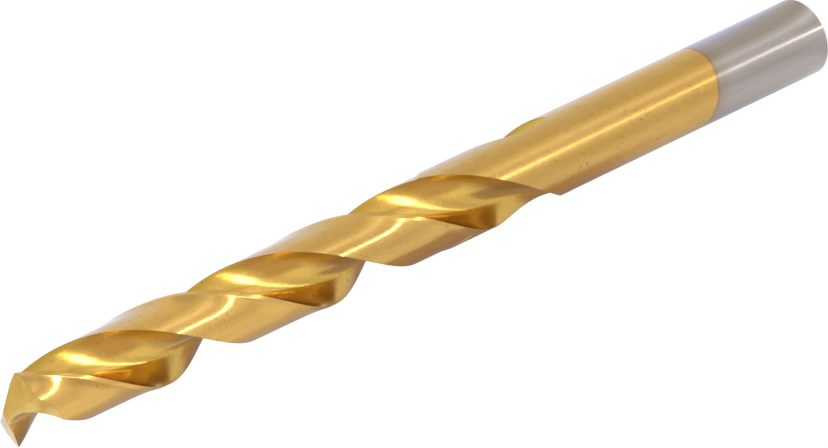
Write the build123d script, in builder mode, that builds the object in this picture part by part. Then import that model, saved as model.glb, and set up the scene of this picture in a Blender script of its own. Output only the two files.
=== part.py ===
"""Two-flute twist drill bit with a straight shank, standing on its shank end.

The drill's axis is Z: the shank end lies on Z = 0 and the point looks up.
A turned blank is ground as the real one is, each cut once on either side of
the axis: the body clearance behind a margin, the flute, the flank of the point
and the gash that thins the web. Flutes and clearances are lofts of one
cross-section that turns with the helix.
"""

import os
from math import cos, exp, pi, radians, sin, sqrt, tan

from build123d import *

os.makedirs("parts", exist_ok=True)

# Driving dimensions, in millimetres and degrees
DRILL_DIAMETER = 10.0
SHANK_DIAMETER = 9.96
OVERALL_LENGTH = 133.0
FLUTE_LENGTH = 87.0
SHANK_CHAMFER = 0.35
NECK_LENGTH = 4.0  # blend from the ground body to the shank

HELIX_ANGLE = 30.5
RUNOUT_LENGTH = 10.5  # last part of each flute, where the wheel lifts away
RUNOUT_DIRECTION = 75.0  # lift direction, ahead of the leading edge
WHEEL_RADIUS = 21.0

WEB_THICKNESS = 1.5  # at the point
WEB_TAPER = 0.014  # growth of the web for each unit of depth
FLOOR_RADIUS = 1.6  # bottom of the flute, beside the web
FLOOR_ARM = 1.75  # pull of the rake face on the trough's curve
WALL_ARM = 2.2  # pull of the heel wall on it
WALL_LEAN = 12.0  # of the heel wall at the heel, away from radial

LAND_ANGLE = 92.0  # leading edge to heel, far from the point
HEEL_OPENING = 16.0  # land angle given up at the very point
HEEL_OPENING_DEPTH = 22.0  # depth over which that opening fades

MARGIN_ANGLE = 7.5
CLEARANCE_STOP = 5.7  # land at full diameter, from the clearance to the run-out
CLEARANCE_DEPTH = 0.45  # at the point
CLEARANCE_TAPER = 0.004  # loss of clearance for each unit of depth
CLEARANCE_SLOPE = 27.0  # steepness behind the margin
CLEARANCE_END_ANGLE = 100.0  # past the heel, in the open flute

FLANK_HALF_ANGLE = 74.5  # of the grinding cone
FLANK_TILT = 10.0  # of that cone, which gives the lip relief
CHISEL_ANGLE = 22.0  # chisel edge, ahead of the leading edge
GASH_DIRECTION = 166.0  # along the lip that the web is thinned for
GASH_DESCENT = 26.0  # of the gash line, from the point outwards
GASH_ANGLE = 44.0  # slope of the gash, which is also the secondary relief
GASH_OFFSET = 0.3  # gash line beside the axis
GASH_LENGTH = 30.0

GRINDS = 2  # lands, flutes and flanks around the axis

SECTION_TURN = 15.0  # turn between two neighbouring sections
OVERRUN = 1.0  # tool travel past the point
SWING = 1.05  # tool reach outside the drill, as a share of its radius

# Derived dimensions
RADIUS = DRILL_DIAMETER / 2
SHANK_RADIUS = SHANK_DIAMETER / 2
REACH = SWING * RADIUS
LEAD = pi * DRILL_DIAMETER / tan(radians(HELIX_ANGLE))
BODY_END = OVERALL_LENGTH - FLUTE_LENGTH
RUNOUT_START = FLUTE_LENGTH - RUNOUT_LENGTH
CLEARANCE_LENGTH = RUNOUT_START - CLEARANCE_STOP


def polar(radius, angle):
    """Point of a cross-section, its angle counted from the leading edge."""
    return (radius * cos(radians(angle)), radius * sin(radians(angle)))


def section_plane(depth):
    """Cross-section at a depth below the point, turned with the helix."""
    turn = -360.0 * depth / LEAD
    return Plane(
        origin=(0, 0, OVERALL_LENGTH - depth),
        x_dir=(cos(radians(turn)), sin(radians(turn)), 0),
        z_dir=(0, 0, 1),
    )


def section_depths(length):
    """Evenly spaced depths from just outside the point down to a length."""
    count = round((length + OVERRUN) / LEAD * 360.0 / SECTION_TURN)
    step = (length + OVERRUN) / count
    return [index * step - OVERRUN for index in range(count + 1)]


def wheel_lift(depth):
    """How far the flute wheel has been lifted at a depth."""
    travel = max(0.0, depth - RUNOUT_START)
    return WHEEL_RADIUS - sqrt(WHEEL_RADIUS**2 - travel**2)


def heel_angle(depth):
    """Angle from one leading edge on to the heel of the land ahead of it."""
    opening = HEEL_OPENING * exp(-max(depth, 0.0) / HEEL_OPENING_DEPTH)
    return 180.0 - LAND_ANGLE + opening


def flute_section(depth):
    """Outline that the flute wheel leaves open at a depth."""
    web_radius = WEB_THICKNESS / 2 + WEB_TAPER / 2 * max(depth, 0.0)
    floor_x = sqrt((web_radius + FLOOR_RADIUS) ** 2 - FLOOR_RADIUS**2)
    lift = Pos(*polar(wheel_lift(depth), RUNOUT_DIRECTION))
    wall_end = Vector(*polar(REACH, heel_angle(depth)))
    wall_arm = Vector(*polar(WALL_ARM, heel_angle(depth) - WALL_LEAN))
    with BuildSketch(section_plane(depth) * lift) as section:
        with BuildLine():
            rake = Line((REACH, 0), (floor_x, 0))
            trough = Bezier(rake @ 1, (floor_x - FLOOR_ARM, 0), wall_end - wall_arm, wall_end)
            Polyline(trough @ 1, (REACH, REACH), rake @ 0)
        make_face()
    return section.sketch


def land_radius(depth):
    """Radius of the relieved land at a depth."""
    return RADIUS - CLEARANCE_DEPTH + CLEARANCE_TAPER * depth


def clearance_section(depth):
    """Sector behind a margin that the body clearance may take."""
    foot = RADIUS * cos(radians(CLEARANCE_SLOPE))
    with BuildSketch(section_plane(depth)) as section:
        Polygon(
            polar(RADIUS, -MARGIN_ANGLE),
            polar(2 * REACH, -MARGIN_ANGLE),
            polar(2 * REACH, -CLEARANCE_END_ANGLE),
            polar(foot, -CLEARANCE_END_ANGLE),
            polar(foot, -MARGIN_ANGLE - CLEARANCE_SLOPE),
            align=None,
        )
    return section.sketch


# Body clearance behind one margin: what lies outside a slim cone
with BuildPart() as clearance:
    loft([clearance_section(depth) for depth in section_depths(CLEARANCE_LENGTH)])
    with BuildSketch(Plane.XZ):
        Polygon(
            (land_radius(-OVERRUN), OVERALL_LENGTH + OVERRUN),
            (land_radius(CLEARANCE_LENGTH), OVERALL_LENGTH - CLEARANCE_LENGTH),
            (REACH, OVERALL_LENGTH - CLEARANCE_LENGTH),
            (REACH, OVERALL_LENGTH + OVERRUN),
            align=None,
        )
    revolve(axis=Axis.Z, mode=Mode.INTERSECT)

# One flute, from outside the point to the end of its run-out
with BuildPart() as flute:
    loft([flute_section(depth) for depth in section_depths(FLUTE_LENGTH)])

# Everything above one flank: the outside of a cone leant over across the chisel edge
cone_plane = Plane(
    origin=(0, 0, OVERALL_LENGTH),
    x_dir=(*polar(1, CHISEL_ANGLE), 0),
    z_dir=(*polar(cos(radians(FLANK_TILT)), CHISEL_ANGLE - 90), -sin(radians(FLANK_TILT))),
)
with BuildPart() as flank:
    with BuildSketch(cone_plane):
        Polygon(
            (0, 0),
            (DRILL_DIAMETER, -DRILL_DIAMETER / tan(radians(FLANK_HALF_ANGLE))),
            (DRILL_DIAMETER, DRILL_DIAMETER),
            (0, DRILL_DIAMETER),
            align=None,
        )
    revolve(axis=Axis(cone_plane.origin, cone_plane.y_dir))

# Gash along one lip: thins the web and takes the other land's heel down
gash_plane = Plane(
    origin=(0, 0, OVERALL_LENGTH),
    x_dir=(*polar(1, GASH_DIRECTION + 90), 0),
    z_dir=(*polar(cos(radians(GASH_DESCENT)), GASH_DIRECTION), -sin(radians(GASH_DESCENT))),
)
with BuildPart() as gash:
    with BuildSketch(gash_plane):
        Polygon(
            (GASH_OFFSET, -GASH_OFFSET * tan(radians(GASH_ANGLE))),
            (DRILL_DIAMETER, -DRILL_DIAMETER * tan(radians(GASH_ANGLE))),
            (DRILL_DIAMETER, DRILL_DIAMETER),
            (GASH_OFFSET, DRILL_DIAMETER),
            align=None,
        )
    extrude(amount=GASH_LENGTH / 2, both=True)

# Turned blank, ground with each of those on either side of the axis
with BuildPart() as twist_drill:
    with BuildSketch(Plane.XZ):
        Polygon(
            (0, 0),
            (SHANK_RADIUS - SHANK_CHAMFER, 0),
            (SHANK_RADIUS, SHANK_CHAMFER),
            (SHANK_RADIUS, BODY_END - NECK_LENGTH),
            (RADIUS, BODY_END),
            (RADIUS, OVERALL_LENGTH),
            (0, OVERALL_LENGTH),
            align=None,
        )
    revolve(axis=Axis.Z)
    with PolarLocations(0, GRINDS):
        add(clearance.part, mode=Mode.SUBTRACT)
        add(flute.part, mode=Mode.SUBTRACT)
        add(flank.part, mode=Mode.SUBTRACT)
        add(gash.part, mode=Mode.SUBTRACT)

twist_drill.part.label = "twist_drill"
export_step(twist_drill.part, "parts/twist_drill.step")
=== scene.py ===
"""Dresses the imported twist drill: a smooth ground bit with its coating and bare steel.

The bit is a skin of cross-sections that turn with the helix, from the shank's
end to just past the point. The point is then ground on it with four cutters:
two cones for the flanks and two wedges for the gashes. Three finishes follow,
and a pale stage whose card gives the gloss something to mirror.
"""

from math import ceil, cos, exp, pi, radians, sin, sqrt, tan

import bmesh
import bpy
from bpy.props import FloatProperty, FloatVectorProperty, IntProperty, PointerProperty
from mathutils import Matrix, Vector
from mathutils.geometry import interpolate_bezier


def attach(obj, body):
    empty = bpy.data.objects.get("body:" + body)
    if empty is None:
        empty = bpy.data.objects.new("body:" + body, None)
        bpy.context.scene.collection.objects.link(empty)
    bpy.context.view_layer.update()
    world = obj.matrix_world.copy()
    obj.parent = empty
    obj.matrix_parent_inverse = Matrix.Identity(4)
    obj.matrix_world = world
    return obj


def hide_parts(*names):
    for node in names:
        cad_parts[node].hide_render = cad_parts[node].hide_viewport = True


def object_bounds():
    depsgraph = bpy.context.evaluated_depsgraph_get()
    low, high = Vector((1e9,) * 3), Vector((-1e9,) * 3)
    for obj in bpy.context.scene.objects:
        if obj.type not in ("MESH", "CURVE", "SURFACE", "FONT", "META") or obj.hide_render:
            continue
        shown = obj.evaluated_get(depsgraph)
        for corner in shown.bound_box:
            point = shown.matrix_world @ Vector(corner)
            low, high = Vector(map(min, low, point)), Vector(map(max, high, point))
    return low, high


bl_info = {
    "name": "Twist Drill Bit",
    "version": (1, 0, 0),
    "blender": (4, 5, 0),
    "location": "3D View > Sidebar > Drill",
    "description": "Models and finishes a coated two-flute twist drill bit",
    "category": "Object",
}

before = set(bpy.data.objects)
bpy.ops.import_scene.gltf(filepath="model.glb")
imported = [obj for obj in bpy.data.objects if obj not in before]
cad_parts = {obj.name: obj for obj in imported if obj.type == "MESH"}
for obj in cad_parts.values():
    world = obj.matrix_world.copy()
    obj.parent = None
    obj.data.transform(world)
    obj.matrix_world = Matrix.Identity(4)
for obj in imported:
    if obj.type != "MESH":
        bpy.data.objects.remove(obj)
CAD_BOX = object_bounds()
CAD_LOW, CAD_HIGH = CAD_BOX
NODE = "twist_drill"
BODY = "root"
PIECE = "drill_bit"
HEAD = "point"  # joins the bit once it is ground
MM = 0.001

FINISHES = ("coated_land", "coated_flute", "coated_point")
LAND, FLUTE, GROUND = range(3)  # their slots on the bit
LAYOUT = "grind"  # the bit's UV map


# ---------------------------------------------------------------- settings


def length(name, default, description):
    """A size in metres."""
    return FloatProperty(
        name=name, default=default, unit="LENGTH", precision=5, description=description
    )


def angle(name, degrees, description):
    """An angle, written in degrees."""
    return FloatProperty(
        name=name, default=radians(degrees), subtype="ANGLE", description=description
    )


def colour(name, default, description):
    """A linear colour without alpha."""
    return FloatVectorProperty(
        name=name,
        default=default,
        subtype="COLOR",
        size=3,
        min=0.0,
        max=1.0,
        description=description,
    )


class DrillSizes(bpy.types.PropertyGroup):
    """Sizes of the bit"""

    total: length("Overall length", CAD_HIGH.z, "From the shank's end to the point")
    radius: length("Radius", CAD_HIGH.y, "Over the margins")
    shank_radius: length("Shank radius", 0.00498, "Below the neck")
    chamfer: length("Chamfer", 0.00035, "At the shank's end")
    flute: length("Flute length", 0.087, "From the point to the end of the flutes")
    neck: length("Neck", 0.004, "Blend from the ground body to the shank")
    helix: angle("Helix", 30.5, "Slope of the margins against the axis")
    web: length("Web", 0.0015, "Thickness of the core at the point")
    web_taper: FloatProperty(
        name="Web taper", default=0.014, description="Growth of the web with depth"
    )
    floor_radius: length("Floor radius", 0.0016, "Of the flute beside the web")
    floor_pull: length("Floor pull", 0.00175, "Of the rake face on the trough")
    wall_pull: length("Wall pull", 0.0022, "Of the heel wall on the trough")
    wall_lean: angle("Wall lean", 12.0, "Of the heel wall away from radial")
    land: angle("Land", 92.0, "From the leading edge to the heel, far from the point")
    heel_opening: angle("Heel opening", 16.0, "Land given up at the point")
    opening_depth: length("Opening depth", 0.022, "Over which that opening fades")
    runout: length("Run-out", 0.0105, "Where the flutes rise out of the body")
    runout_side: angle("Run-out side", 75.0, "Direction in which they rise")
    wheel: length("Wheel radius", 0.021, "Of the arc on which they rise")
    margin: angle("Margin", 7.5, "Width of the margin round the body")
    relief: length("Relief", 0.00045, "Of the land behind the margin, at the point")
    relief_taper: FloatProperty(
        name="Relief taper", default=0.004, description="Relief lost with depth"
    )
    relief_blend: angle("Relief blend", 50.0, "Where the relief is fully reached")
    relief_end: length("Relief end", 0.072, "Depth at which the relief stops")
    relief_slope: FloatProperty(
        name="Relief slope", default=0.35, description="Of the step that ends the relief"
    )


class PointSizes(bpy.types.PropertyGroup):
    """Angles of the ground point"""

    half_angle: angle("Flank cone", 74.5, "Half angle of the grinding cone")
    tilt: angle("Flank tilt", 10.0, "Of that cone, for the lip relief")
    chisel: angle("Chisel edge", 22.0, "Ahead of the leading edge")
    gash_side: angle("Gash side", 166.0, "Along the lip that the web is thinned for")
    gash_descent: angle("Gash descent", 26.0, "Of the gash from the point outwards")
    gash_slope: angle("Gash slope", 44.0, "Slope of the gash")
    gash_offset: length("Gash offset", 0.0003, "Gash line beside the axis")
    segments: IntProperty(name="Segments", default=256, description="Round a flank cutter")


class Finishes(bpy.types.PropertyGroup):
    """Colours of the coating and the bare steel"""

    gold: colour("Coating", (0.63, 0.385, 0.105), "Nitride coating on the ground body")
    amber: colour("Flute coating", (0.70, 0.445, 0.09), "Deeper coating in the flutes")
    steel: colour("Bare steel", (0.43, 0.385, 0.37), "Shank below the coating")
    tint: colour("Heat tint", (0.36, 0.20, 0.11), "Fringe of the coating")
    edge: length("Coating edge", 0.02017, "Mean height of the coating's lower edge")


class StudioSettings(bpy.types.PropertyGroup):
    """Camera and floor"""

    place: FloatVectorProperty(
        name="Camera",
        default=(0.29983, -0.70353, 0.62988),
        subtype="TRANSLATION",
        description="Where the camera stands",
    )
    turn: FloatVectorProperty(
        name="Camera turn",
        default=(radians(-30.36536), radians(46.64120), radians(-105.75285)),
        subtype="EULER",
        description="How the camera is turned",
    )
    lens: FloatProperty(
        name="Lens", default=340.17, unit="CAMERA", description="Focal length in millimetres"
    )
    floor: length("Floor", 6.0, "Side of the floor")


# ---------------------------------------------------------------- helpers


def polar(radius, turn, height=0.0):
    """Point at a radius and an angle round the axis."""
    return Vector((radius * cos(turn), radius * sin(turn), height))


def heading(point):
    """Angle of a point round the axis."""
    return -Vector((1, 0)).angle_signed(point.xy)


def pick(*objects):
    """Selects only these objects and makes the first one active."""
    bpy.ops.object.select_all(action="DESELECT")
    for thing in objects:
        thing.select_set(True)
    bpy.context.view_layer.objects.active = objects[0]


def add_mesh(name, points, faces):
    """Adds an object with a mesh of its own."""
    mesh = bpy.data.meshes.new(name)
    mesh.from_pydata(points, [], faces)
    thing = bpy.data.objects.new(name, mesh)
    bpy.context.collection.objects.link(thing)
    return thing


def add_finishes(thing):
    """Gives a mesh the bit's three finishes as its slots."""
    for name in FINISHES:
        known = bpy.data.materials.get(name)
        thing.data.materials.append(known or bpy.data.materials.new(name))


def apply_modifiers(thing):
    """Applies all modifiers of a piece, in order."""
    pick(thing)
    for modifier in list(thing.modifiers):
        bpy.ops.object.modifier_apply(modifier=modifier.name)


def find_piece(name):
    """A piece of an earlier step, or an error that says which one is missing."""
    thing = bpy.data.objects.get(name)
    if thing is None or not thing.data.polygons:
        raise RuntimeError(f"{name} isn't there yet: run the steps in order")
    return thing


# ---------------------------------------------------------------- cross-sections

MARGIN_POINTS = 7
LAND_POINTS = 44
LAND_CROWDING = 1.35  # draws the points of the land towards its margin
FLUTE_POINTS = 46
TROUGH_POINTS = 120  # on the curve that those are spaced along
OUTLINE_REACH = 1.05  # of the flute's outline, in radii
RELIEF_FALL = 3.25  # how soon the land drops behind the margin
HALVINGS = 40  # in a search for a crossing


def section_turn(sizes, depth):
    """Turn of the cross-section at a depth below the point."""
    lead = 2 * pi * sizes.radius / tan(sizes.helix)
    return -2 * pi * depth / lead


def flute_outline(sizes, depth):
    """Rake face, floor and heel wall of one flute, in the section's own frame."""
    below = max(depth, 0.0)
    reach = sizes.radius * OUTLINE_REACH
    web = (sizes.web + sizes.web_taper * below) / 2
    floor = sqrt((web + sizes.floor_radius) ** 2 - sizes.floor_radius**2)
    opening = sizes.heel_opening * exp(-below / sizes.opening_depth)
    heel = pi - sizes.land + opening
    wall = polar(reach, heel)
    trough = interpolate_bezier(
        Vector((floor, 0, 0)),
        Vector((floor - sizes.floor_pull, 0, 0)),
        wall - polar(sizes.wall_pull, heel - sizes.wall_lean),
        wall,
        TROUGH_POINTS,
    )
    travel = max(0.0, depth - (sizes.flute - sizes.runout))
    lift = sizes.wheel - sqrt(sizes.wheel**2 - travel**2)
    shift = polar(lift, sizes.runout_side)
    return [point + shift for point in (Vector((reach, 0, 0)), *trough)]


def crossing(inner, outer, radius):
    """Point between two others at which the line reaches a radius."""
    low, high = 0.0, 1.0
    for _ in range(HALVINGS):
        middle = (low + high) / 2
        if inner.lerp(outer, middle).length < radius:
            low = middle
        else:
            high = middle
    return inner.lerp(outer, low)


def clip_outline(points, radius):
    """The part of an outline that lies inside a circle, or an empty list."""
    inside = [index for index, point in enumerate(points) if point.length < radius]
    if not inside:
        return []
    first, last = inside[0], inside[-1]
    entry = crossing(points[first], points[first - 1], radius)
    leave = crossing(points[last], points[last + 1], radius)
    return [entry, *points[first : last + 1], leave]


def even_points(points, count):
    """The same line, as evenly spaced points."""
    lengths = [0.0]
    for before, after in zip(points, points[1:]):
        lengths.append(lengths[-1] + (after - before).length)
    result = []
    step = 0
    for index in range(count):
        wanted = lengths[-1] * index / (count - 1)
        while step < len(points) - 2 and lengths[step + 1] < wanted:
            step += 1
        span = lengths[step + 1] - lengths[step]
        share = (wanted - lengths[step]) / span if span else 0.0
        result.append(points[step].lerp(points[step + 1], min(share, 1.0)))
    return result


def land_radius(sizes, depth, behind):
    """Radius of the land at an angle behind its leading edge."""
    # the relief ends on a ramp that lies square to the helix
    slant = sizes.radius * behind * tan(sizes.helix)
    room = max(0.0, sizes.relief_end - slant - depth) * sizes.relief_slope
    if not room or behind <= sizes.margin:
        return sizes.radius
    share = min(1.0, (behind - sizes.margin) / (sizes.relief_blend - sizes.margin))
    relief = sizes.relief - sizes.relief_taper * depth
    return sizes.radius - min(room, relief * (1 - (1 - share) ** RELIEF_FALL))


def land_angles(sizes, start, end):
    """Angles across one land, from its leading edge back to its heel."""
    margin = min(sizes.margin, (start - end) / 3)
    angles = [start - margin * i / (MARGIN_POINTS - 1) for i in range(MARGIN_POINTS)]
    rest = start - margin - end
    for index in range(1, LAND_POINTS):
        share = index / (LAND_POINTS - 1)
        angles.append(start - margin - rest * share**LAND_CROWDING)
    return angles


def land_line(sizes, depth, flute):
    """Angles and radii across the land that trails a flute's leading edge."""
    lead = heading(flute[0])
    angles = land_angles(sizes, lead, heading(flute[-1]) - pi)
    return angles, [land_radius(sizes, depth, lead - side) for side in angles]


def section(sizes, depth, exit_depth, exit_angle):
    """One cross-section of the fluted body, as a ring of points."""
    level = min(depth, exit_depth)
    outline = flute_outline(sizes, level)
    open_part = clip_outline(outline, sizes.radius)
    if depth >= exit_depth or not open_part:
        flute = [polar(sizes.radius, exit_angle)] * FLUTE_POINTS
    else:
        flute = even_points(open_part, FLUTE_POINTS)
    angles, radii = land_line(sizes, level, flute)
    # the heel wall ends where it meets the relieved land
    wall = clip_outline(outline, radii[-1]) if radii[-1] < sizes.radius else []
    if wall:
        flute = even_points([flute[0], *wall[1:]], FLUTE_POINTS)
        angles, radii = land_line(sizes, level, flute)
    land = [polar(radius, side) for radius, side in zip(radii, angles)]
    turn = Matrix.Rotation(section_turn(sizes, level), 3, "Z")
    ring = [turn @ point for point in (*reversed(land), *flute[1:-1])]
    ring += [Matrix.Rotation(pi, 3, "Z") @ point for point in ring]
    height = sizes.total - depth
    return [Vector((point.x, point.y, height)) for point in ring]


def runout_exit(sizes):
    """Depth at which a flute leaves the body, and its angle in the section there."""
    low, high = sizes.flute - sizes.runout, sizes.flute + sizes.runout
    for _ in range(HALVINGS):
        middle = (low + high) / 2
        if clip_outline(flute_outline(sizes, middle), sizes.radius):
            low = middle
        else:
            high = middle
    outline = clip_outline(flute_outline(sizes, low), sizes.radius)
    if not outline:
        raise RuntimeError("the flute doesn't reach its run-out: check the flute sizes")
    return low, heading(outline[0])


# ---------------------------------------------------------------- body and shank

HEAD_LENGTH = 9 * MM  # of the piece that the point is ground on
OVERRUN = 1 * MM  # of that piece past the point
HEAD_STEP = 0.3 * MM
BODY_STEP = 0.36 * MM
RUNOUT_STEPS = 60
RAMP_STEP = 0.09 * MM  # where the relief ends
RAMP_STEPS = 50
NECK_STEPS = 8
SHANK_HEIGHTS = (30 * MM, 20 * MM, 10 * MM)
CHAMFER_APPROACH = (1.6, 1.15)  # rings just above the chamfer, in its heights
CHAMFER_STEPS = 4
END_SHARES = (0.8, 0.6, 0.4, 0.2, 0.05)  # rings across the shank's end


def skin(name, rings, close_low, close_high):
    """Joins rings of points, from the highest to the lowest, into one skin."""
    count = len(rings[0])
    half = count // 2
    land_faces = MARGIN_POINTS + LAND_POINTS - 2
    points = [point for ring in rings for point in ring]
    faces, slots = [], []
    for level in range(len(rings) - 1):
        top, low = level * count, (level + 1) * count
        for index in range(count):
            after = (index + 1) % count
            faces.append((top + index, low + index, low + after, top + after))
            slots.append(LAND if index % half < land_faces else FLUTE)
    if close_high:
        faces.append(tuple(range(count)))
        slots.append(GROUND)
    if close_low:
        base = (len(rings) - 1) * count
        faces.append(tuple(base + index for index in reversed(range(count))))
        slots.append(LAND)
    thing = add_mesh(name, points, faces)
    add_finishes(thing)
    for face, slot in zip(thing.data.polygons, slots):
        face.material_index = slot
    write_layout(thing, count)


def write_layout(thing, count):
    """UV map of a skin: share of the way round the section, and height in metres."""
    layer = thing.data.uv_layers.new(name=LAYOUT)
    for face in thing.data.polygons:
        corners = [thing.data.loops[i].vertex_index for i in face.loop_indices]
        across = [corner % count for corner in corners]
        wraps = max(across) - min(across) > count // 2
        for loop, corner, column in zip(face.loop_indices, corners, across):
            if wraps and column == 0:
                column = count
            layer.data[loop].uv = (column / count, thing.data.vertices[corner].co.z)


def body_depths(sizes, start, exit_depth):
    """Depths of the cross-sections from a start down to the end of the run-out."""
    rise = sizes.flute - sizes.runout
    count = ceil((rise - start) / BODY_STEP)
    depths = [start + (rise - start) * i / count for i in range(count)]
    for index in range(RUNOUT_STEPS + 1):
        depths.append(exit_depth - (exit_depth - rise) * (1 - index / RUNOUT_STEPS) ** 2)
    depths += [sizes.relief_end - RAMP_STEP * (index + 0.5) for index in range(RAMP_STEPS)]
    return sorted(depths)


def shank_levels(sizes, start):
    """Height and scale of each ring from below the run-out to the shank's end."""
    shank = sizes.shank_radius / sizes.radius
    end = shank - sizes.chamfer / sizes.radius
    body_end = sizes.total - sizes.flute
    levels = []
    for index in range(1, NECK_STEPS + 1):
        height = start - (start - (body_end - sizes.neck)) * index / NECK_STEPS
        fall = min(max((body_end - height) / sizes.neck, 0.0), 1.0)
        levels.append((height, 1 + (shank - 1) * fall))
    levels += [(height, shank) for height in SHANK_HEIGHTS]
    levels += [(sizes.chamfer * share, shank) for share in CHAMFER_APPROACH]
    for index in range(CHAMFER_STEPS + 1):
        share = index / CHAMFER_STEPS
        levels.append((sizes.chamfer * (1 - share), shank + (end - shank) * share))
    levels += [(0.0, end * share) for share in END_SHARES]
    return levels


class DRILL_OT_body(bpy.types.Operator):
    """Model the fluted body and the shank"""

    bl_idname = "drill.body"
    bl_label = "Body and Shank"

    def execute(self, context):
        sizes = context.scene.drill_sizes
        exit_depth, exit_angle = runout_exit(sizes)

        def ring(depth):
            return section(sizes, depth, exit_depth, exit_angle)

        span = HEAD_LENGTH + OVERRUN
        count = ceil(span / HEAD_STEP)
        head = [ring(-OVERRUN + span * index / count) for index in range(count + 1)]
        skin(HEAD, head, True, True)

        rings = [ring(depth) for depth in body_depths(sizes, HEAD_LENGTH, exit_depth)]
        base = ring(exit_depth)
        for height, scale in shank_levels(sizes, sizes.total - exit_depth):
            rings.append([Vector((p.x * scale, p.y * scale, height)) for p in base])
        skin(PIECE, rings, True, False)
        return {"FINISHED"}


# ---------------------------------------------------------------- point

CONE_STEPS = 30  # along a flank cutter's slope
GASH_REACH = 1.5  # half length of a gash cutter, in diameters
CUTTER_DOUBLES = 0.0001 * MM
SPIN_DOUBLES = 0.001 * MM
SEAM_DOUBLES = 0.002 * MM  # where the ground head meets the body
LEVEL_TOLERANCE = 0.001 * MM
SHARP = radians(24)  # edges turn this much and stay sharp


def turned_cutter(name, profile, segments):
    """A solid of revolution about Z, from its outline in the XZ plane."""
    thing = add_mesh(name, [(x, 0, z) for x, z in profile], [])
    bm = bmesh.new()
    bm.from_mesh(thing.data)
    bm.verts.ensure_lookup_table()
    for before, after in zip(bm.verts[:-1], bm.verts[1:]):
        bm.edges.new((before, after))
    bm.to_mesh(thing.data)
    bm.free()
    spin = thing.modifiers.new("turn", "SCREW")
    spin.steps = spin.render_steps = segments
    spin.use_merge_vertices = True
    spin.merge_threshold = SPIN_DOUBLES
    spin.use_normal_calculate = True
    apply_modifiers(thing)
    return thing


def flank_cutter(sizes, point, half_turn):
    """The outside of a cone that leans over across the chisel edge."""
    span = 2 * sizes.radius
    slope = 1 / tan(point.half_angle)
    shares = [index / CONE_STEPS for index in range(CONE_STEPS + 1)]
    profile = [(span * share, -span * slope * share) for share in shares]
    profile += [(span, span), (0.0, span)]
    cutter = turned_cutter("flank", profile, point.segments)
    side = point.chisel + half_turn
    across = polar(1, side)
    normal = polar(cos(point.tilt), side - pi / 2, -sin(point.tilt))
    lean = Matrix((across, -normal, normal.cross(across))).transposed().to_4x4()
    cutter.data.transform(Matrix.Translation((0, 0, sizes.total)) @ lean)
    return cutter


def gash_cutter(sizes, point, half_turn):
    """A wedge that runs down from the point along one lip."""
    bpy.ops.object.select_all(action="DESELECT")
    bpy.ops.mesh.primitive_cube_add(size=1)
    cutter = bpy.context.active_object
    cutter.name = "gash"
    span = 2 * sizes.radius
    tip = Vector((0, 0, sizes.total))
    side = point.gash_side + half_turn
    across = polar(1, side + pi / 2)
    along = polar(cos(point.gash_descent), side, -sin(point.gash_descent))
    up = along.cross(across)
    drop = tan(point.gash_slope)
    corners = {
        (-1, -1): (point.gash_offset, -point.gash_offset * drop),
        (1, -1): (span, -span * drop),
        (1, 1): (span, span),
        (-1, 1): (point.gash_offset, span),
    }
    for vertex in cutter.data.vertices:
        x, y, z = (1 if value > 0 else -1 for value in vertex.co)
        right, rise = corners[(x, z)]
        vertex.co = tip + across * right + up * rise + along * (y * GASH_REACH * span)
    return cutter


def outward(thing):
    """Merges the doubles of a closed piece and turns its faces outwards."""
    pick(thing)
    bpy.ops.object.mode_set(mode="EDIT")
    bpy.ops.mesh.select_all(action="SELECT")
    bpy.ops.mesh.remove_doubles(threshold=CUTTER_DOUBLES)
    bpy.ops.mesh.normals_make_consistent(inside=False)
    bpy.ops.object.mode_set(mode="OBJECT")


def cut(thing, cutter):
    """Takes a cutter's shape away from a piece, and then the cutter itself."""
    add_finishes(cutter)
    outward(cutter)
    for face in cutter.data.polygons:
        face.material_index = GROUND
    tool = thing.modifiers.new("grind", "BOOLEAN")
    tool.operation = "DIFFERENCE"
    tool.solver = "EXACT"
    tool.object = cutter
    apply_modifiers(thing)
    bpy.data.objects.remove(cutter)
    if not thing.data.polygons:
        raise RuntimeError(f"nothing is left of {thing.name}: check the point's angles")


def open_end(thing, height):
    """Deletes the faces that close a piece at a height."""
    pick(thing)
    bpy.ops.object.mode_set(mode="EDIT")
    bpy.ops.mesh.select_all(action="DESELECT")
    bpy.ops.object.mode_set(mode="OBJECT")
    for face in thing.data.polygons:
        face.select = face.center.z < height + LEVEL_TOLERANCE
    bpy.ops.object.mode_set(mode="EDIT")
    bpy.ops.mesh.select_mode(type="FACE")
    bpy.ops.mesh.delete(type="FACE")
    bpy.ops.object.mode_set(mode="OBJECT")


class DRILL_OT_point(bpy.types.Operator):
    """Grind the flanks of the point and the gashes that thin its web"""

    bl_idname = "drill.point"
    bl_label = "Point"

    def execute(self, context):
        sizes = context.scene.drill_sizes
        point = context.scene.drill_point
        bit, head = find_piece(PIECE), find_piece(HEAD)
        outward(head)
        for make_cutter in (flank_cutter, gash_cutter):
            for half_turn in (0.0, pi):
                cut(head, make_cutter(sizes, point, half_turn))
        open_end(head, sizes.total - HEAD_LENGTH)

        pick(bit, head)
        bpy.ops.object.join()
        bpy.ops.object.mode_set(mode="EDIT")
        bpy.ops.mesh.select_all(action="SELECT")
        bpy.ops.mesh.remove_doubles(threshold=SEAM_DOUBLES)
        bpy.ops.object.mode_set(mode="OBJECT")
        bpy.ops.object.shade_smooth_by_angle(angle=SHARP)
        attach(bit, BODY)
        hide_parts(NODE)
        return {"FINISHED"}


# ---------------------------------------------------------------- finishes

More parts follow.
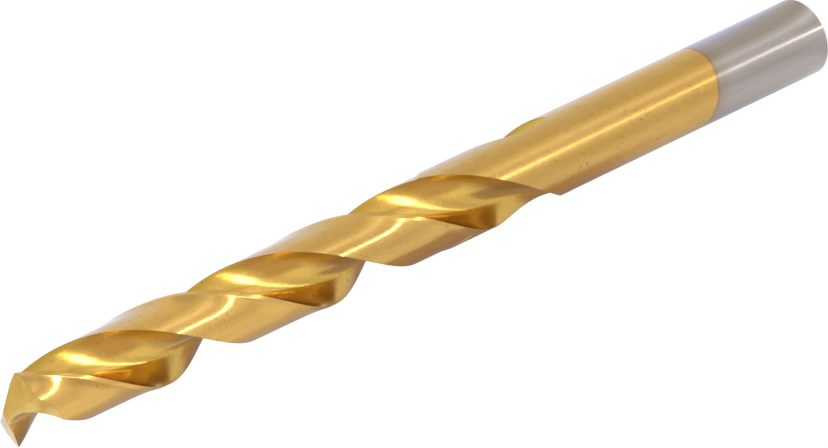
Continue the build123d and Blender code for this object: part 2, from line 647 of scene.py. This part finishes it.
PALE_GOLD = (0.66, 0.43, 0.14, 1)
WORN_GOLD = (0.70, 0.46, 0.17, 1)
# painted highlight of the flanks, and next their painted shade
FLANK_HIGHLIGHT_GOLD = (0.78, 0.54, 0.17, 1)
FLANK_SHADE_GOLD = (0.58, 0.35, 0.08, 1)
BROWN_GOLD = (0.50, 0.29, 0.08, 1)
STAINED_GOLD = (0.50, 0.28, 0.05, 1)
PALE_AMBER = (0.66, 0.43, 0.08, 1)
# partly the coating's tone, partly painted reflection of light mirrored twice between the
# flute's walls
DEEP_AMBER_AND_REFLECTION = (0.50, 0.30, 0.03, 1)
# partly the coating's tone, partly painted reflection of light mirrored twice in the flutes
BROWN_AMBER_AND_REFLECTION = (0.42, 0.24, 0.08, 1)
# painted shade along the sharp edges and creases
EDGE_SHADE_BROWN = (0.30, 0.17, 0.07, 1)
LAND_SPECK = (0.26, 0.15, 0.05, 1)
FLUTE_SPECK = (0.20, 0.11, 0.03, 1)
STEEL_STAIN = (0.36, 0.30, 0.25, 1)
STEEL_SCUFF = (0.32, 0.27, 0.24, 1)
STEEL_HAZE = (0.36, 0.27, 0.19, 1)
SPECULAR_TINT = (0.98, 0.97, 0.97, 1)

BUMP_DISTANCE = 0.02 * MM
EDGE_RADIUS = 0.2 * MM
EDGE_SHADE_SHARE = 0.5
BRUSHING = 0.7  # anisotropy of the flutes

# the coating's lower edge leans over, and its heat haze reaches further down
EDGE_LEAN = (-0.2719, 0.0915)  # rise for each metre along X and Y
EDGE_FRAY = 0.6 * MM
HAZE_REACH = 3.0 * MM


class Nodes:
    """Adds and joins shader nodes in one material or world."""

    def __init__(self, owner):
        owner.use_nodes = True
        self.tree = owner.node_tree
        self.tree.nodes.clear()

    def add(self, kind, inputs=None, **settings):
        """A node of a kind, with its inputs by name or number and its settings."""
        node = self.tree.nodes.new("ShaderNode" + kind)
        for name, value in settings.items():
            setattr(node, name, value)
        for name, value in (inputs or {}).items():
            self.set(node, name, value)
        return node

    def set(self, node, name, value):
        """Links a socket to an input, or writes a constant on it."""
        if isinstance(value, bpy.types.NodeSocket):
            self.tree.links.new(value, node.inputs[name])
        else:
            node.inputs[name].default_value = value

    def math(self, operation, first, second=0.0, third=0.0):
        """The result of a math operation."""
        inputs = {0: first, 1: second, 2: third}
        return self.add("Math", inputs, operation=operation).outputs[0]

    def mix(self, share, first, second):
        """A colour between two others."""
        # the colour sockets of this node stand behind its number and vector ones
        return self.add("Mix", {0: share, 6: first, 7: second}, data_type="RGBA").outputs[2]

    def ramp(self, value, low, high, start=0.0, end=1.0):
        """A smooth step from one value to another."""
        inputs = {0: value, 1: low, 2: high, 3: start, 4: end}
        return self.add("MapRange", inputs, interpolation_type="SMOOTHSTEP").outputs[0]

    def noise(self, place, scale, detail, roughness=0.6, stretch=(1, 1, 1)):
        """A noise pattern, with its scale in features for each metre."""
        mapping = self.add("Mapping", {"Vector": place, "Scale": stretch})
        inputs = {
            "Vector": mapping.outputs[0],
            "Scale": scale,
            "Detail": detail,
            "Roughness": roughness,
        }
        return self.add("TexNoise", inputs).outputs[0]

    def tones(self, base, layers):
        """A colour with others laid over it: pattern, from, to, strength, colour."""
        for pattern, low, high, strength, tone in layers:
            base = self.mix(self.ramp(pattern, low, high, 0.0, strength), base, tone)
        return base


def rgba(value):
    """A colour with full alpha."""
    return (*value, 1.0)


def relief_mask(nodes, place, radius):
    """1 on the relieved land, 0 over the margins and the shank."""
    flat = nodes.add("VectorMath", {0: place, 1: (1, 1, 0)}, operation="MULTIPLY").outputs[0]
    reach = nodes.add("VectorMath", {0: flat}, operation="LENGTH").outputs["Value"]
    return nodes.ramp(reach, radius - 0.03 * MM, radius - 0.1 * MM)


def edge_shade_mask(nodes):
    """1 along the sharp edges and creases, 0 away from them: where shade is painted."""
    rounded = nodes.add("Bevel", {"Radius": EDGE_RADIUS}, samples=6).outputs[0]
    plain = nodes.add("NewGeometry").outputs["Normal"]
    same = nodes.add("VectorMath", {0: rounded, 1: plain}, operation="DOT_PRODUCT")
    return nodes.ramp(same.outputs["Value"], 0.93, 0.999, 1.0, 0.0)


def metal(nodes, colour_socket, roughness, height, bump_strength):
    """Metal shader with painted shade along its edges and creases and a fine bump, joined to
    the output.
    """
    # painted shade darkens the edges and creases
    edge = nodes.math("MULTIPLY", edge_shade_mask(nodes), EDGE_SHADE_SHARE)
    bump = nodes.add(
        "Bump", {"Height": height, "Strength": bump_strength, "Distance": BUMP_DISTANCE}
    )
    shader = nodes.add(
        "BsdfPrincipled",
        {
            "Base Color": nodes.mix(edge, colour_socket, EDGE_SHADE_BROWN),
            "Metallic": 1.0,
            "Specular Tint": SPECULAR_TINT,
            "Roughness": roughness,
            "Normal": bump.outputs[0],
        },
    )
    nodes.add("OutputMaterial", {"Surface": shader.outputs[0]})
    return shader


def height_above_edge(nodes, place, cloud, finish):
    """Height above the leaning, frayed lower edge of the coating."""
    axes = nodes.add("SeparateXYZ", {0: place})
    edge = nodes.math("MULTIPLY_ADD", axes.outputs[0], EDGE_LEAN[0], finish.edge)
    edge = nodes.math("MULTIPLY_ADD", axes.outputs[1], EDGE_LEAN[1], edge)
    fray = nodes.math("MULTIPLY_ADD", cloud, EDGE_FRAY, -EDGE_FRAY / 2)
    return nodes.math("SUBTRACT", axes.outputs[2], nodes.math("ADD", edge, fray))


def land_material(finish, radius):
    """Coating on the round surfaces, down to a ragged edge, and bare steel below it."""
    nodes = Nodes(bpy.data.materials[FINISHES[LAND]])
    place = nodes.add("TexCoord").outputs["Object"]
    rings = nodes.noise(place, 1500, 3, stretch=(0.15, 0.15, 3.0))
    cross = nodes.noise(place, 2200, 3, stretch=(1.0, 1.0, 0.2))
    cloud = nodes.noise(place, 260, 5, 0.65)
    stain = nodes.noise(place, 300, 3, stretch=(1.0, 1.0, 0.12))
    scuffs = nodes.noise(place, 900, 3, stretch=(1.0, 1.0, 0.08))
    patches = nodes.ramp(nodes.noise(place, 150, 2, 0.5), 0.50, 0.66)
    specks = nodes.math("MULTIPLY_ADD", patches, 0.07, nodes.noise(place, 2600, 2))

    above = height_above_edge(nodes, place, cloud, finish)
    coated = nodes.ramp(above, -0.06 * MM, 0.1 * MM)
    line = nodes.math(
        "MULTIPLY",
        nodes.ramp(above, -0.5 * MM, -0.1 * MM),
        nodes.ramp(above, 0.0, 0.3 * MM, 1.0, 0.0),
    )
    steel = nodes.tones(
        rgba(finish.steel),
        (
            (stain, 0.40, 0.70, 0.5, STEEL_STAIN),
            (scuffs, 0.45, 0.75, 0.4, STEEL_SCUFF),
            (above, -HAZE_REACH, 0.0, 0.6, STEEL_HAZE),
        ),
    )
    gold = nodes.tones(
        rgba(finish.gold),
        (
            (cloud, 0.35, 0.65, 0.18, PALE_GOLD),
            (cross, 0.35, 0.75, 0.30, BROWN_GOLD),
            (rings, 0.40, 0.70, 0.16, WORN_GOLD),
            (stain, 0.45, 0.70, 0.28, STAINED_GOLD),
            (specks, 0.68, 0.73, 0.6, LAND_SPECK),
        ),
    )
    both = nodes.mix(coated, steel, gold)
    both = nodes.mix(nodes.math("MULTIPLY", line, 0.6), both, rgba(finish.tint))

    relieved = relief_mask(nodes, place, radius)
    rough = nodes.math("MULTIPLY_ADD", relieved, -0.08, 0.17)
    rough = nodes.math("MULTIPLY_ADD", rings, 0.10, rough)
    height = nodes.math("MULTIPLY_ADD", cross, 0.5, rings)
    metal(nodes, both, rough, height, 0.25)


def flute_material(finish):
    """Coating in the flutes, with marks that run along the helix."""
    nodes = Nodes(bpy.data.materials[FINISHES[FLUTE]])
    place = nodes.add("TexCoord").outputs["Object"]
    layout = nodes.add("UVMap", uv_map=LAYOUT).outputs[0]
    marks = nodes.noise(layout, 260, 3, stretch=(1.0, 0.5, 1.0))
    cloud = nodes.noise(place, 260, 5, 0.65)
    grain = nodes.noise(place, 2600, 3)
    patches = nodes.ramp(nodes.noise(place, 180, 2, 0.5), 0.45, 0.62)
    specks = nodes.ramp(nodes.noise(place, 1900, 2), 0.66, 0.72)
    specks = nodes.math("MULTIPLY", specks, nodes.math("MULTIPLY_ADD", patches, 0.8, 0.2))

    # the coating is deeper in tone against the heel, where each half of the layout ends:
    # partly the coating's own tone, partly painted reflection of light mirrored twice between
    # the flute's walls
    across = nodes.add("SeparateXYZ", {0: layout}).outputs[0]
    across = nodes.math("FRACT", nodes.math("MULTIPLY", across, 2.0))
    heel = nodes.math("ADD", across, nodes.math("MULTIPLY_ADD", cloud, 0.06, -0.03))
    gold = nodes.tones(
        rgba(finish.amber),
        (
            (cloud, 0.35, 0.65, 0.25, PALE_AMBER),
            (grain, 0.40, 0.75, 0.35, BROWN_GOLD),
            (heel, 0.90, 0.985, 0.8, DEEP_AMBER_AND_REFLECTION),
        ),
    )
    # brown over all of the flutes: partly the coating's tone, partly painted reflection of
    # light mirrored twice between the walls
    gold = nodes.mix(0.22, gold, BROWN_AMBER_AND_REFLECTION)
    gold = nodes.mix(nodes.math("MULTIPLY", specks, 0.75), gold, FLUTE_SPECK)

    rough = nodes.math("MULTIPLY_ADD", marks, 0.08, 0.10)
    rough = nodes.math("MULTIPLY_ADD", grain, 0.06, rough)
    height = nodes.math("MULTIPLY_ADD", grain, 0.25, marks)
    shader = metal(nodes, gold, rough, height, 0.45)
    nodes.set(shader, "Anisotropic", BRUSHING)
    tangent = nodes.add("Tangent", direction_type="UV_MAP", uv_map=LAYOUT)
    nodes.set(shader, "Tangent", tangent.outputs[0])


def ground_material(finish):
    """Coating on the flanks and gashes of the point, with patches of painted highlight and
    painted shade laid out by noise.
    """
    nodes = Nodes(bpy.data.materials[FINISHES[GROUND]])
    place = nodes.add("TexCoord").outputs["Object"]
    marks = nodes.noise(place, 1800, 3, stretch=(1.0, 0.15, 1.0))
    # noise patches of painted highlight and painted shade on the flanks
    flank_light = nodes.noise(place, 330, 2, 0.5, stretch=(0.5, 1.0, 1.0))
    grain = nodes.noise(place, 2600, 3)
    gold = nodes.tones(
        FLANK_SHADE_GOLD,
        (
            (flank_light, 0.35, 0.62, 1.0, FLANK_HIGHLIGHT_GOLD),
            (marks, 0.35, 0.70, 0.3, rgba(finish.gold)),
            (grain, 0.55, 0.80, 0.4, BROWN_GOLD),
        ),
    )
    rough = nodes.math("MULTIPLY_ADD", marks, 0.10, 0.22)
    metal(nodes, gold, rough, marks, 0.15)


class DRILL_OT_finish(bpy.types.Operator):
    """Give the bit its coating and its bare steel"""

    bl_idname = "drill.finish"
    bl_label = "Coating and Steel"

    def execute(self, context):
        find_piece(PIECE)
        finish = context.scene.drill_finish
        land_material(finish, context.scene.drill_sizes.radius)
        flute_material(finish)
        ground_material(finish)
        return {"FINISHED"}


# ---------------------------------------------------------------- stage

CLIP_START, CLIP_END = 0.01, 50.0

WORLD_LIGHT = 1.03  # a strength of 1 is white
FLOOR_COLOUR = (0.9, 0.9, 0.9, 1)
FLOOR_GLOW = 0.9  # share of plain white on the floor as a background
LAMP_PLACE = Vector((0.2, -0.1, 1.6))
LAMP_SIZE = 1.2
LAMP_WATTS = 16

CARD_RADIUS = 1.5
CARD_RIM = 0.62
CARD_LIFT = 0.1 * MM
CARD_SIDES = 64
CARD_LEVEL = 2.0  # the bands' colours are written as shares of this brightness
# a band is degrees from the camera's side, brightness and warmth
NEAR_BANDS = (
    (-180, 0.50, -0.2),
    (-150, 0.55, -0.2),
    (-125, 0.72, -0.1),
    (-105, 0.88, 0.0),
    (-80, 0.98, 0.0),
    (-56, 1.00, 0.0),
    (-44, 0.88, 0.0),
    (-30, 0.84, 0.0),
    (-16, 0.98, 0.0),
    (-7, 1.10, 0.0),
    (5, 1.02, 0.0),
    (12, 0.92, 0.0),
    (20, 1.02, 0.0),
    (28, 1.38, 0.0),
    (38, 1.04, 0.05),
    (50, 0.81, 0.16),
    (64, 0.82, 0.12),
    (80, 0.86, 0.0),
    (100, 0.93, -0.15),
    (120, 1.05, -0.35),
    (150, 1.05, -0.4),
    (175, 0.75, -0.2),
)
FAR_BANDS = (
    (-180, 1.05, -0.3),
    (-168, 1.05, -0.3),
    (-150, 1.05, 0.0),
    (-100, 1.05, 0.0),
    (-84, 0.80, 0.0),
    (-30, 0.78, 0.0),
    (-12, 1.00, 0.0),
    (30, 1.05, 0.0),
    (90, 1.00, -0.2),
    (175, 1.30, -0.4),
)
NEAR_TO_FAR = (0.26, 0.40)  # metres from the bit's foot
# from and to in metres, and the near bands' brightness there
NEAR_RISE = (0.09, 0.18, 1.0, 1.22)
# a patch is from and to in degrees, from and to in metres, strength and colour
PATCHES = (
    (-172, -81, 0.050, 0.127, 0.56, (0.14, 0.05, 0.02, 1)),
    (-172, -100, 0.140, 0.900, 0.26, (0.14, 0.05, 0.02, 1)),
    (14, 75, 0.200, 0.600, 0.25, (0.02, 0.02, 0.02, 1)),
    (96, 175, 0.055, 0.300, 0.75, (0.48, 0.56, 0.84, 1)),
    (-92, -26, 0.350, 9.000, 1.0, (0.40, 0.33, 0.34, 1)),
)
PATCH_BLUR = radians(7)
STREAK_SIDE = radians(-1)
STREAK_WIDTH = radians(3)
# steps of the streak's strength or width: from and to in metres, and its two values
STREAK_FOOT = (0.06, 0.11, 3.2, 11.0)
STREAK_FAR = (0.30, 0.50, 0.0, 13.0)
STREAK_SPREAD = (0.30, 0.55, 1.0, 2.0)
STREAK_FADE = (0.05, 0.45, 1.0, 0.2)  # by height up the rim


def band_colours(nodes, share, bands):
    """Colours by direction round the bit, from a table of bands."""
    ramp = nodes.add("ValToRGB", {0: share})
    stops = ramp.color_ramp.elements
    stops.remove(stops[1])
    for index, (degrees, bright, warm) in enumerate(bands):
        place = degrees / 360 + 0.5
        stop = stops[0] if index == 0 else stops.new(place)
        stop.position = place
        level = bright / CARD_LEVEL
        red, green, blue = 1 + 0.1 * warm, 1 - 0.12 * warm, 1 - 0.9 * warm
        stop.color = (level * red, level * green, level * blue, 1)
    return ramp.outputs[0]


def direction(nodes, axes, forward):
    """Angle round the axis, 0 on the camera's side."""
    x, y = axes.outputs[0], axes.outputs[1]
    along = nodes.math("MULTIPLY_ADD", x, forward.x, nodes.math("MULTIPLY", y, forward.y))
    across = nodes.math("MULTIPLY_ADD", x, -forward.y, nodes.math("MULTIPLY", y, forward.x))
    return nodes.math("ARCTAN2", across, along)


def patch_mask(nodes, around, reach, start, end, inner, outer):
    """1 inside a patch of the card, with soft borders."""
    borders = (
        (reach, inner * 0.8, inner * 1.2, 0.0, 1.0),
        (reach, outer * 0.9, outer * 1.1, 1.0, 0.0),
        (around, radians(start) - PATCH_BLUR, radians(start) + PATCH_BLUR, 0.0, 1.0),
        (around, radians(end) - PATCH_BLUR, radians(end) + PATCH_BLUR, 1.0, 0.0),
    )
    mask = 1.0
    for border in borders:
        mask = nodes.math("MULTIPLY", nodes.ramp(*border), mask)
    return mask


def streak_power(nodes, around, reach, height):
    """Strength of the narrow bright streak on the camera's side of the card."""
    off = nodes.math("ABSOLUTE", nodes.math("SUBTRACT", around, STREAK_SIDE))
    off = nodes.math("DIVIDE", off, nodes.ramp(reach, *STREAK_SPREAD))
    inside = nodes.ramp(off, STREAK_WIDTH * 0.3, STREAK_WIDTH * 0.7, 1.0, 0.0)
    power = nodes.math("ADD", nodes.ramp(reach, *STREAK_FOOT), nodes.ramp(reach, *STREAK_FAR))
    power = nodes.math("MULTIPLY", power, nodes.ramp(height, *STREAK_FADE))
    return nodes.math("MULTIPLY", inside, power)


def card_material(studio):
    """Light and dark bands round the bit, with patches and one bright streak."""
    material = bpy.data.materials.new("banded_card")
    nodes = Nodes(material)
    place = nodes.add("TexCoord").outputs["Object"]
    axes = nodes.add("SeparateXYZ", {0: place})
    around = direction(nodes, axes, Vector(studio.place).to_2d().normalized())
    share = nodes.math("MULTIPLY_ADD", around, 1 / (2 * pi), 0.5)
    reach = nodes.add("VectorMath", {0: place}, operation="LENGTH").outputs["Value"]

    rise = nodes.ramp(reach, *NEAR_RISE)
    near = band_colours(nodes, share, NEAR_BANDS)
    near = nodes.add("VectorMath", {0: near, "Scale": rise}, operation="SCALE").outputs[0]
    far = band_colours(nodes, share, FAR_BANDS)
    colours = nodes.mix(nodes.ramp(reach, *NEAR_TO_FAR), near, far)
    for start, end, inner, outer, strength, tone in PATCHES:
        mask = patch_mask(nodes, around, reach, start, end, inner, outer)
        colours = nodes.mix(nodes.math("MULTIPLY", mask, strength), colours, tone)
    bands = nodes.add("Emission", {"Color": colours, "Strength": CARD_LEVEL})
    power = streak_power(nodes, around, reach, axes.outputs[2])
    streak = nodes.add("Emission", {"Color": (1, 1, 1, 1), "Strength": power})
    both = nodes.add("AddShader", {0: bands.outputs[0], 1: streak.outputs[0]})
    nodes.add("OutputMaterial", {"Surface": both.outputs[0]})
    return material


def add_reflector(studio):
    """Round card under the bit with a low rim all round, seen in its gloss alone."""
    bpy.ops.object.select_all(action="DESELECT")
    bpy.ops.mesh.primitive_circle_add(
        vertices=CARD_SIDES, radius=CARD_RADIUS, fill_type="NGON"
    )
    card = bpy.context.active_object
    card.name = "reflector"
    bpy.ops.mesh.primitive_cylinder_add(
        vertices=CARD_SIDES,
        radius=CARD_RADIUS,
        depth=CARD_RIM,
        end_fill_type="NOTHING",
        location=(0, 0, CARD_RIM / 2),
    )
    pick(card, bpy.context.active_object)
    bpy.ops.object.join()
    card.location.z = CARD_LIFT
    for ray in ("camera", "diffuse", "shadow", "transmission", "volume_scatter"):
        setattr(card, "visible_" + ray, False)
    card.data.materials.append(card_material(studio))


def background_rays(nodes):
    """1 for rays that see the background straight, in gloss or through glass, else 0."""
    path = nodes.add("LightPath").outputs
    share = path["Is Camera Ray"]
    for kind in ("Is Glossy Ray", "Is Transmission Ray"):
        share = nodes.math("MAXIMUM", share, path[kind])
    return share


def add_floor(studio):
    """Pale floor that keeps the bit's shadow."""
    bpy.ops.object.select_all(action="DESELECT")
    bpy.ops.mesh.primitive_plane_add(size=studio.floor)
    floor = bpy.context.active_object
    floor.name = "floor"
    material = bpy.data.materials.new("white_floor")
    nodes = Nodes(material)
    matt = nodes.add("BsdfDiffuse", {"Color": FLOOR_COLOUR})
    glow = nodes.add("Emission", {"Color": (1, 1, 1, 1), "Strength": 1.0})
    share = nodes.math("MULTIPLY", background_rays(nodes), FLOOR_GLOW)
    mixed = nodes.add("MixShader", {0: share, 1: matt.outputs[0], 2: glow.outputs[0]})
    nodes.add("OutputMaterial", {"Surface": mixed.outputs[0]})
    floor.data.materials.append(material)


def add_lamp():
    """Wide soft lamp overhead, not seen in the gloss."""
    data = bpy.data.lights.new("overhead", "AREA")
    data.shape = "DISK"
    data.size = LAMP_SIZE
    data.energy = LAMP_WATTS
    lamp = bpy.data.objects.new("overhead", data)
    bpy.context.collection.objects.link(lamp)
    lamp.location = LAMP_PLACE
    lamp.rotation_euler = (-LAMP_PLACE).to_track_quat("-Z", "Y").to_euler()
    lamp.visible_camera = False
    lamp.visible_glossy = False


def add_world(scene):
    """Even white light from all round, plain white as a background."""
    world = bpy.data.worlds.new("studio")
    scene.world = world
    nodes = Nodes(world)
    share = background_rays(nodes)
    strength = nodes.math("MULTIPLY_ADD", share, 1.0 - WORLD_LIGHT, WORLD_LIGHT)
    background = nodes.add("Background", {"Color": (1, 1, 1, 1), "Strength": strength})
    nodes.add("OutputWorld", {"Surface": background.outputs[0]})


class DRILL_OT_camera(bpy.types.Operator):
    """Add the camera"""

    bl_idname = "drill.camera"
    bl_label = "Camera"

    def execute(self, context):
        studio = context.scene.drill_studio
        data = bpy.data.cameras.new("camera")
        data.lens = studio.lens
        data.clip_start, data.clip_end = CLIP_START, CLIP_END
        camera = bpy.data.objects.new("camera", data)
        context.collection.objects.link(camera)
        camera.location = studio.place
        camera.rotation_euler = studio.turn
        context.scene.camera = camera
        return {"FINISHED"}


class DRILL_OT_stage(bpy.types.Operator):
    """Lay the floor and the card and set up the light"""

    bl_idname = "drill.stage"
    bl_label = "Stage"

    def execute(self, context):
        scene = context.scene
        scene.view_settings.view_transform = "Standard"
        add_world(scene)
        add_floor(scene.drill_studio)
        add_reflector(scene.drill_studio)
        add_lamp()
        return {"FINISHED"}


# ---------------------------------------------------------------- panel


class DRILL_PT_panel(bpy.types.Panel):
    """Steps that build the bit, and its sizes and colours"""

    bl_idname = "DRILL_PT_panel"
    bl_label = "Twist Drill Bit"
    bl_space_type = "VIEW_3D"
    bl_region_type = "UI"
    bl_category = "Drill"

    def draw(self, context):
        layout = self.layout
        for operator in OPERATORS:
            layout.operator(operator.bl_idname)
        for name in SETTINGS:
            group = getattr(context.scene, name)
            column = layout.column()
            for prop in group.bl_rna.properties:
                if prop.identifier not in ("rna_type", "name"):
                    column.prop(group, prop.identifier)


OPERATORS = (
    DRILL_OT_camera,
    DRILL_OT_body,
    DRILL_OT_point,
    DRILL_OT_finish,
    DRILL_OT_stage,
)
SETTINGS = {
    "drill_sizes": DrillSizes,
    "drill_point": PointSizes,
    "drill_finish": Finishes,
    "drill_studio": StudioSettings,
}
CLASSES = (*SETTINGS.values(), *OPERATORS, DRILL_PT_panel)


def register():
    for cls in CLASSES:
        bpy.utils.register_class(cls)
    for name, group in SETTINGS.items():
        setattr(bpy.types.Scene, name, PointerProperty(type=group))


def unregister():
    for name in SETTINGS:
        delattr(bpy.types.Scene, name)
    for cls in reversed(CLASSES):
        bpy.utils.unregister_class(cls)


def main():
    """Builds the bit and its stage."""
    register()
    bpy.ops.object.select_all(action="DESELECT")
    bpy.ops.drill.camera()
    bpy.ops.drill.body()
    bpy.ops.drill.point()
    bpy.ops.drill.finish()
    bpy.ops.drill.stage()


if __name__ == "__main__":
    main()
